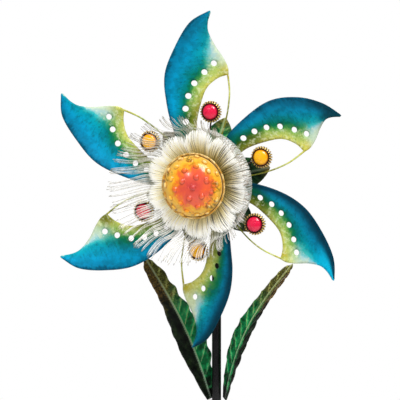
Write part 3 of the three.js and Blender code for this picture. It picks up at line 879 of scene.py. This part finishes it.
def make_bezel(name, place):
    """A toothed cup of rows: growth past the radius, z, and 1 where gaps are cut between the teeth."""
    teeth, per, radius, tooth_rise = 24, 10, 12.9, 2.1
    sides = teeth * per
    rows = [(1.0, -3.3, 0), (1.0, 0.4, 0), (0.55, 1.6, 1), (0.0, 2.6, 1), (-1.4, 2.6, 0), (-2.2, 1.4, 0),
            (-2.2, -1.9, 0)]
    verts, gold = [], []
    for grow, z, shine in rows:
        for i in range(sides):
            phase = (i % per) / per
            tooth = float(smooth(abs(phase - 0.5), 0.36, 0.2))
            r = radius + (grow * tooth_rise * tooth if grow > 0 else grow)
            verts.append(around(r, 2 * math.pi * i / sides, z - (0.9 * (1 - tooth) if shine else 0)))
            gold.append(0.75 * tooth * (1 if shine or grow == 1.0 else 0.2))
    faces = []
    for k in range(len(rows) - 1):
        faces += band(k * sides, (k + 1) * sides, sides)
    faces.append(list(range(sides))[::-1])
    faces.append(list(range((len(rows) - 1) * sides, len(rows) * sides)))
    facing_out(piece(name + "_toothed", name, verts, faces, place, values={"gold": gold}))


def make_gem(name, place, seed):
    profile = [(0, -1.6), (GEM_R - 0.2, -1.6), (GEM_R, 1.0)]
    profile += [(GEM_R * math.cos(a), 2.0 + 4.7 * math.sin(a)) for a in np.linspace(0.05, 1.5, 12)]
    verts, faces = revolve(profile + [(0, 6.75)], 48)
    out = [math.hypot(x, y) / GEM_R for x, y, _ in verts]
    flat = [(x / 10 + seed * 3.3, y / 10 + seed, 0) for x, y, _ in verts]
    facing_out(piece(name + "_domed", name, verts, faces, place, values={"out": out, "flat": flat}))


def gem_places():
    """Each gem's turn around the wheel and its distance from the axis."""
    return [(turned_by(GEM_TURN + swing + 60 * i), GEM_RING + out)
            for i, (swing, out) in enumerate(GEM_SETS)]


def make_gems():
    for i, (turn, radius) in enumerate(gem_places()):
        def seat(p):
            return turn((p[0], p[1] + radius, p[2]))

        make_bezel(f"bezel_{i + 1}", seat)
        make_gem(f"gem_{i + 1}", seat, i)


def make_gem_wires():
    """The hub ring and, out to each gem, a wire with a round pad at its end."""
    verts, faces = [], []

    def add(made, place):
        start = len(verts)
        verts.extend(tuple(place(v)) for v in made[0])
        faces.extend([[start + i for i in f] for f in made[1]])

    ring = [(HUB_BORE, -6.1), (18.8, -6.1), (19, -5.9), (19, -4.1), (18.8, -3.9), (HUB_BORE, -3.9)]
    add(revolve(ring, 48), ahead)
    for turn, radius in gem_places():
        path = [(0.8 * math.sin(t * 3.1), mix(18.5, radius, t), -5) for t in np.linspace(0, 1, 16)]
        add(tube(path, 1.2), turn)
        pad = revolve([(0, -6.2), (4.6, -6.2), (5, -5.8), (5, -3.7), (0, -3.7)], 24)
        add(([(x, y + radius, z) for x, y, z in pad[0]], pad[1]), turn)
    facing_out(piece("gem_wire_stems", "gem_stems", verts, faces, Vector))


# ---- stake ----

def softened(r, z0, z1, soft):
    """The outside of a turned part from back to front, its two edges taken off."""
    return [(r - soft, z0), (r, z0 + soft), (r, z1 - soft), (r - soft, z1)]


def box_mm(node):
    lo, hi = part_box(node)
    return [c / MM for c in lo], [c / MM for c in hi]


def rod_extent(node):
    """An upright node's radius, foot and top."""
    lo, hi = box_mm(node)
    return (hi[1] - lo[1]) / 2, lo[2], hi[2]


def make_rod(node, word, profile, sides):
    """A turned upright piece around its node's middle."""
    lo, hi = box_mm(node)
    x, y = (lo[0] + hi[0]) / 2, (lo[1] + hi[1]) / 2
    facing_out(piece(f"{node}_{word}", node, *revolve(profile, sides),
                     lambda v: standing((v[0] + x, v[1] + y, v[2]))))


def make_tube(node, wall, word):
    r, z0, z1 = rod_extent(node)
    make_rod(node, word, [(r - wall, z0), *softened(r, z0, z1, min(0.5, wall / 3)), (r - wall, z1)], 72)


def make_prong(node):
    r, z0, z1 = rod_extent(node)
    point = [(0, z0), (0.6, z0 + 0.4), (r * 0.55, z0 + 12)]
    make_rod(node, "rod", point + [(r, z0 + 26), (r, z1), (0, z1)], 48)


def make_stalk(node):
    r, z0, z1 = rod_extent(node)
    make_rod(node, "rod", [(0, z0), *softened(r, z0, z1, 0.5), (0, z1)], 32)


def rounded_block(name, node, soft):
    """A block with rounded edges and corners, in the place of its CAD node."""
    lo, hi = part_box(node)
    bm = bmesh.new()
    bmesh.ops.create_cube(bm, size=1.0)
    for v in bm.verts:
        v.co = Vector([mix(a, b, c + 0.5) for a, b, c in zip(lo, hi, v.co)])
    bmesh.ops.bevel(bm, geom=bm.edges[:], offset=soft * MM, segments=3, affect="EDGES", profile=0.6)
    verts = [v.co.copy() for v in bm.verts]
    faces = [[v.index for v in f.verts] for f in bm.faces]
    bm.free()
    piece(name, node, verts, faces, Vector)


def make_stake():
    rounded_block("step_bar_flat", "step_bar", 1.4)
    for node in ("prong_left", "prong_right", "ground_spike"):
        make_prong(node)
    for node, wall, word in (("pole_socket", 3, "tube"), ("lower_pole", 1.2, "tube"),
                             ("pole_coupling", 2, "sleeve"), ("upper_pole", 1.2, "tube"),
                             ("leaf_collar", 3, "ring")):
        make_tube(node, wall, word)
    make_stalk("leaf_stalk_left")
    make_stalk("leaf_stalk_right")


# ---- hardware ----

def wheel_extent(node):
    """A turned node's outer radius, and its back and front along the wheel's axis."""
    lo, hi = box_mm(node)
    return (hi[0] - lo[0]) / 2, -hi[1] - WHEEL_AHEAD, -lo[1] - WHEEL_AHEAD


def turned(node, word, profile, sides, place=ahead):
    facing_out(piece(f"{node}_{word}", node, *revolve(profile, sides), place))


def plain_ring(node, bore):
    r, z0, z1 = wheel_extent(node)
    soft = 0.35
    inner = [(bore + soft, z1), (bore, z1 - soft), (bore, z0 + soft), (bore + soft, z0)]
    turned(node, "turned", softened(r, z0, z1, soft) + inner, 72)


def ball_bearing(node, bore):
    """Races flush with the faces, and a shield set in between them."""
    r, z0, z1 = wheel_extent(node)
    front = [(r, z1 - 0.3), (r - 0.3, z1), (r - 2, z1), (r - 2.2, z1 - 0.5), (bore + 2.2, z1 - 0.5),
             (bore + 2, z1), (bore + 0.3, z1), (bore, z1 - 0.3)]
    back = [(x, z0 + z1 - z) for x, z in front[::-1]]
    turned(node, "raced", front + back, 72)


def hub_barrel():
    r, z0, z1 = wheel_extent("hub_barrel")
    bore, barrel, soft = BARREL_BORE, 13, 0.4
    flange = z0 + 2.4
    profile = [(bore, z0), *softened(r, z0, flange, soft), (barrel + 0.5, flange), (barrel, flange + 0.2),
               (barrel, z1 - soft), (barrel - soft, z1), (bore, z1)]
    turned("hub_barrel", "flanged", profile, 96)


def hex_nut(node, across, bore):
    """A nut whose corners are turned off at both faces."""
    _, z0, z1 = wheel_extent(node)
    sides, washer = 96, across / 2 * 0.96
    rows = []
    for a in np.linspace(0, 2 * math.pi, sides, endpoint=False):
        hexagon = across / 2 / math.cos((a % (math.pi / 3)) - math.pi / 6)
        fall = (hexagon - washer) * 0.5
        rows.append([(bore, z0), (washer, z0), (hexagon, z0 + fall), (hexagon, z1 - fall), (washer, z1),
                     (bore, z1)])
    verts = [around(r, 2 * math.pi * i / sides, z) for i, row in enumerate(rows) for r, z in row]
    n = len(rows[0])
    faces = [[i * n + k, j * n + k, j * n + (k + 1) % n, i * n + (k + 1) % n]
             for i, j in ((i, (i + 1) % sides) for i in range(sides)) for k in range(n)]
    facing_out(piece(node + "_hexagonal", node, verts, faces))


def spindle():
    """A round spindle, threaded where its two nuts sit."""
    r, z0, z1 = wheel_extent("spindle")
    depth, pitch = 0.55, 1.25
    profile = [(0, z0), (r - 0.6, z0), (r, z0 + 0.6)]
    for low, high in ((-39.5, -28.9), (11, 20.4)):
        profile.append((r, low))
        for z in np.arange(low + 0.2, high, pitch):
            profile += [(r - 0.12, z), (r - depth, z + pitch / 2)]
        profile.append((r - 0.12, high))
        if high < z1 - 5:
            profile.append((r, high + 0.3))
    turned("spindle", "threaded", profile + [(r - 0.7, z1), (0, z1)], 40)


def solid_object(profile, sides, turn):
    verts, faces = revolve(profile, sides)
    mesh = bpy.data.meshes.new("tool")
    mesh.from_pydata([tuple(turn(v)) for v in verts], [], faces)
    return facing_out(add_object("tool", mesh))


def bore_tool(r, z0, z1):
    return [(0, z0), (r, z0), (r, z1), (0, z1)]


def spindle_head():
    """The block on top of the pole: a rounded post joined to the boss that holds the spindle."""
    lo, hi = box_mm("spindle_head")
    r, boss, reach = (hi[0] - lo[0]) / 2, 9.5, -lo[1]
    height, screw_height, pole_top = WHEEL.z / MM, 812, 829.3
    post = [(0, lo[2]), (r - 0.6, lo[2]), (r, lo[2] + 0.6), (r, hi[2] - 3), (r - 0.9, hi[2] - 0.9),
            (r - 3, hi[2]), (0, hi[2])]
    nose = [(0, 4), (boss, 4), (boss, reach - 0.8), (boss - 0.8, reach), (0, reach)]
    spindle_bore = bore_tool(SPINDLE_BORE, 9.4, reach + 5)
    pole_bore = bore_tool(6.65, lo[2] - 5, pole_top)
    screw_bore = bore_tool(2.8, 6.4, r + 5)

    def forward(v):
        return Vector((v[0], -v[2], height + v[1])) * MM

    def backward(v):
        return Vector((v[0], v[2], screw_height + v[1])) * MM

    body = solid_object(post, 72, standing)
    tools = [("UNION", solid_object(nose, 64, forward)),
             ("DIFFERENCE", solid_object(spindle_bore, 48, forward)),
             ("DIFFERENCE", solid_object(pole_bore, 64, standing)),
             ("DIFFERENCE", solid_object(screw_bore, 32, backward))]
    for operation, tool in tools:
        cut = body.modifiers.new(operation, "BOOLEAN")
        cut.operation, cut.object, cut.solver = operation, tool, "EXACT"
    made = body.evaluated_get(bpy.context.evaluated_depsgraph_get()).to_mesh()
    verts = [v.co.copy() for v in made.vertices]
    faces = [list(f.vertices) for f in made.polygons]
    for obj in [body] + [tool for _, tool in tools]:
        bpy.data.objects.remove(obj)
    piece("spindle_head_block", "spindle_head", verts, faces, Vector, [True] * len(faces))


def set_screw():
    lo, hi = box_mm("head_set_screw")
    r, z = (hi[0] - lo[0]) / 2, (lo[2] + hi[2]) / 2
    socket, depth = 1.3, 2
    y0, y1 = lo[1], hi[1]
    profile = [(0, y0), (r - 0.5, y0), (r, y0 + 0.5), (r, y1 - 0.4), (r - 0.4, y1), (socket, y1),
               (socket, y1 - depth), (0, y1 - depth)]
    turned("head_set_screw", "socketed", profile, 36, lambda v: standing((v[0], v[2], z + v[1])))


def make_hardware():
    rings = {"rear_spacer": SPINDLE_BORE, "mid_spacer": SPINDLE_BORE, "leaf_bush": BEARING_BORE,
             "leaf_plate": BUSH_BORE, "leaf_clamp_ring": BUSH_BORE, "blade_plate": HUB_BORE,
             "clamp_ring": HUB_BORE}
    for node, bore in rings.items():
        plain_ring(node, bore)
    for node in ("bearing_rear", "bearing_front"):
        ball_bearing(node, BEARING_BORE)
    for node in ("jam_nut", "lock_nut"):
        hex_nut(node, 13, SPINDLE_BORE)
    hub_barrel()
    spindle()
    spindle_head()
    set_screw()


# ---- studio ----

VIEW_AZIMUTH, VIEW_ELEVATION, VIEW_DISTANCE = 18.3, 6.0, 5.0
VIEW_WIDTH = 0.544
VIEW_SHIFT = (-0.0034, -0.0229)


def aim(obj, place, direction):
    obj.location = place
    obj.rotation_mode = "QUATERNION"
    obj.rotation_quaternion = direction.to_track_quat("-Z", "Y")


def make_camera():
    a, e = math.radians(VIEW_AZIMUTH), math.radians(VIEW_ELEVATION)
    back = Vector((math.sin(a) * math.cos(e), -math.cos(a) * math.cos(e), math.sin(e)))
    right = Vector((math.cos(a), math.sin(a), 0))
    up = back.cross(right)
    centre = WHEEL + right * VIEW_SHIFT[0] + up * VIEW_SHIFT[1]
    data = bpy.data.cameras.new("camera")
    data.lens = data.sensor_width * VIEW_DISTANCE / VIEW_WIDTH
    data.clip_end = 60
    camera = add_object("camera", data)
    aim(camera, centre + back * VIEW_DISTANCE, -back)
    bpy.context.scene.camera = camera


def area_light(name, place, target_height, size, power):
    data = bpy.data.lights.new(name, "AREA")
    data.size, data.energy = size, power
    aim(add_object(name, data), place, Vector((0, 0, target_height)) - Vector(place))


def make_studio():
    bpy.context.scene.view_settings.view_transform = "Standard"
    floor_z = CAD_BOX[0].z - 0.0005
    sides = 96
    verts, faces = revolve([(0, floor_z), (3.0, floor_z)], sides)
    mesh = bpy.data.meshes.new("floor")
    mesh.from_pydata(verts, [], faces[:sides])
    p = Paint("pale_floor", Roughness=0.7)
    p.set("Base Color", p.ramp(p.noise(p.place(), 3, 3), [(0.3, (0.8,) * 3), (0.7, (0.84,) * 3)]))
    mesh.materials.append(p.material)
    floor = add_object("floor", mesh)
    make_world()
    area_light("key", (1.2, -1.95, 3.4), 0.8, 1.6, 130)
    area_light("glint", (-0.9, -2.6, 1.9), 0.8, 0.22, 8)
    area_light("back", (-1.6, 2.6, 2.6), 0.7, 1.6, 90)


def make_world():
    """White where it is seen; as light it is bright overhead, softer around and dim below."""
    world = bpy.data.worlds.new("studio")
    bpy.context.scene.world = world
    world.use_nodes = True
    n = Nodes(world.node_tree)
    seen, output = n.tree.nodes["Background"], n.tree.nodes["World Output"]
    n.feed(seen.inputs["Color"], (1, 1, 1, 1))
    split = n.node("SeparateXYZ", {0: n.node("TexCoord").outputs["Generated"]})
    height = n.node("MapRange", {"Value": split.outputs["Z"], "From Min": -1}).outputs["Result"]
    light = n.ramp(height, [(0.0, (0.12,) * 3), (0.5, (0.24,) * 3), (1.0, (0.4,) * 3)], "LINEAR")
    lit = n.node("Background", {"Color": light})
    camera_ray = n.node("LightPath").outputs["Is Camera Ray"]
    both = n.node("MixShader", {"Fac": camera_ray, 1: lit.outputs[0], 2: seen.outputs[0]})
    n.feed(output.inputs["Surface"], both.outputs[0])


make_camera()
make_studio()
for number, blade in enumerate(BLADE_SETS):
    make_blade(number, *blade)
make_rear_leaves()
make_stem_leaf(-1, "left")
make_stem_leaf(1, "right")
make_film()
make_fibres()
make_dome()
make_gems()
make_gem_wires()
make_stake()
make_hardware()
